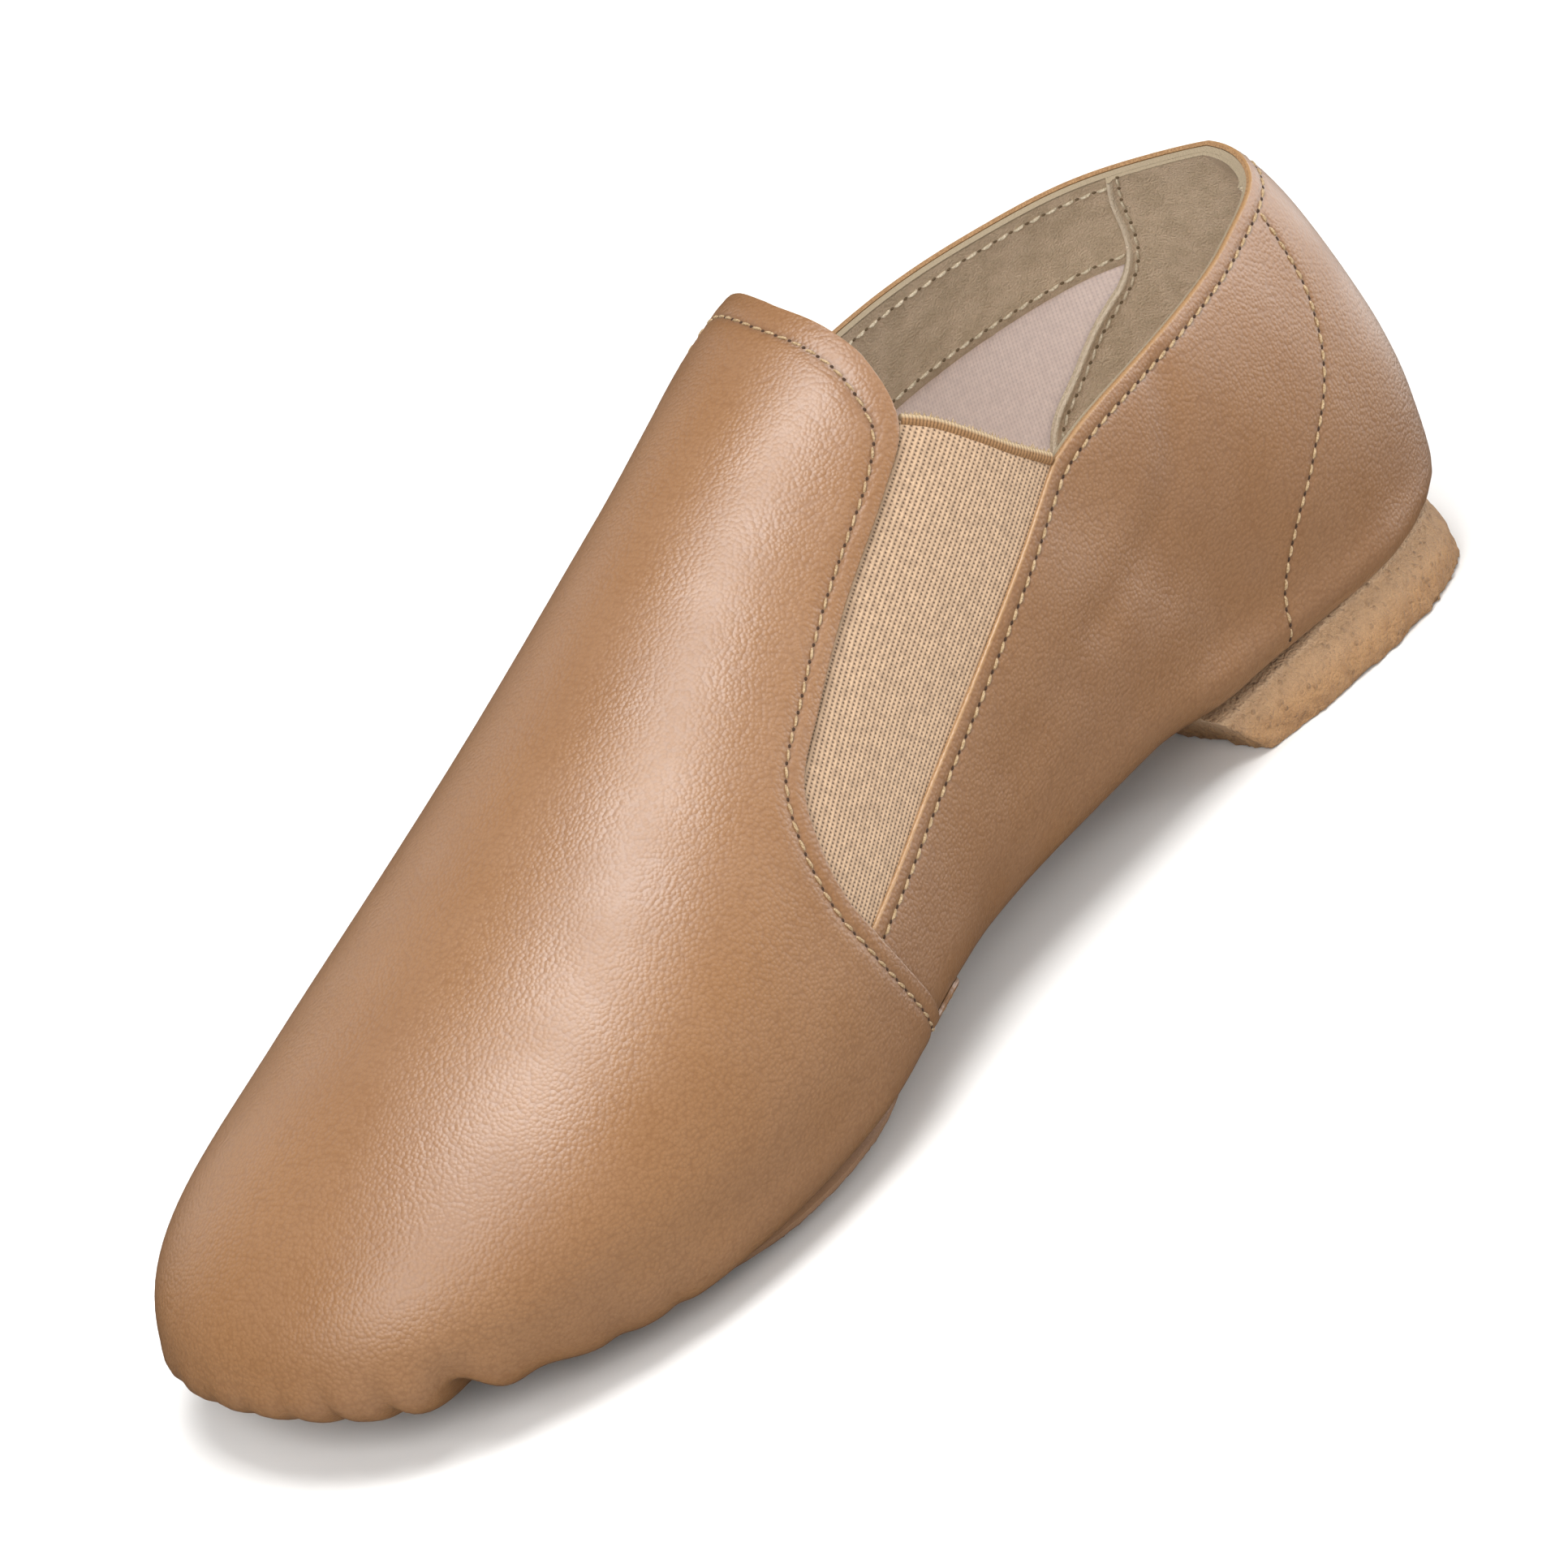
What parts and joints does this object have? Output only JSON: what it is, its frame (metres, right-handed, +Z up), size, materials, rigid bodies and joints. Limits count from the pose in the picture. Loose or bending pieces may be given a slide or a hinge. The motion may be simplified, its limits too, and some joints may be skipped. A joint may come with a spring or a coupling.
{
  "type": "jazz shoe",
  "caption": "Slip-on split-sole jazz shoe: soft one-piece vamp with elastic gores, forefoot patch and low heel block.",
  "frame": {"origin": "on the floor, under the middle of the box round the shoe", "axes": "+X points to the toe, +Y to the lateral (outer) side, +Z up"},
  "size_m": [0.249, 0.0836, 0.0957],
  "materials": {
    "leather": "satin tan synthetic leather",
    "elastic": "woven tan elastic",
    "sole_rubber": "matt studded tan rubber",
    "heel_suede": "rough tan suede",
    "lining": "pale cotton lining"
  },
  "bodies": {
    "root": {"upper": "leather", "gore_lateral": "elastic", "gore_medial": "elastic", "outsole": "sole_rubber", "heel": "heel_suede", "insole": "lining"}
  },
  "joints": []
}
